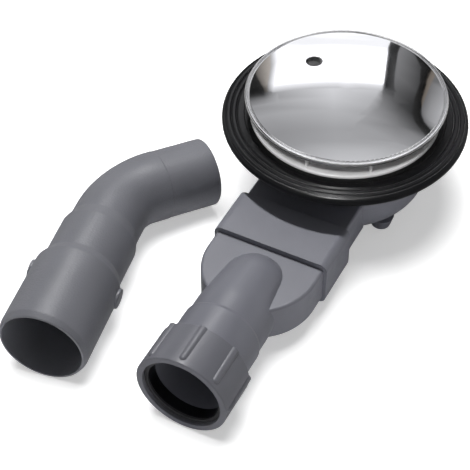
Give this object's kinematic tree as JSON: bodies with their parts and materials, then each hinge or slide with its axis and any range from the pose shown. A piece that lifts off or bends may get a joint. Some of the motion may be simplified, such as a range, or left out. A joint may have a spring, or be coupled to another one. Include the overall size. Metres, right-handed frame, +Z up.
{
  "type": "shower trap",
  "caption": "Low shower trap with a domed chrome cap, ribbed flange, lift-out water seal, flat outlet, union nut and a loose stepped elbow.",
  "frame": {"origin": "on the drain axis, at the rubber flange's top face, where the underside of the shower tray seals", "axes": "+Z up along the drain axis; the outlet pipe leaves along -Y; the loose elbow lies at -X"},
  "size_m": [0.1872, 0.2757, 0.079],
  "materials": {
    "grey_plastic": "satin moulded grey",
    "nut_plastic": "satin moulded grey",
    "elbow_plastic": "satin moulded grey",
    "white_plastic": "satin moulded white",
    "black_rubber": "soft black rubber",
    "dark_washer": "hard dark plastic",
    "bright_chrome": "mirror chrome plating",
    "stainless_steel": "turned stainless steel",
    "insert_brass": "turned brass"
  },
  "bodies": {
    "root": {"brass_insert_1": "insert_brass", "brass_insert_2": "insert_brass", "brass_insert_3": "insert_brass", "cap": "bright_chrome", "cap_carrier": "white_plastic", "clamp_ring": "white_plastic", "clamp_screw_1": "stainless_steel", "clamp_screw_2": "stainless_steel", "clamp_screw_3": "stainless_steel", "cone_seal": "black_rubber", "flange_gasket": "black_rubber", "hair_strainer": "white_plastic", "inlet_tube": "white_plastic", "inlet_tube_seal": "black_rubber", "outlet_adapter": "grey_plastic", "outlet_elbow": "elbow_plastic", "ring_washer": "black_rubber", "slip_washer": "dark_washer", "trap_bowl": "grey_plastic", "trap_housing": "grey_plastic", "union_nut": "nut_plastic", "water_cup": "white_plastic"}
  },
  "joints": []
}
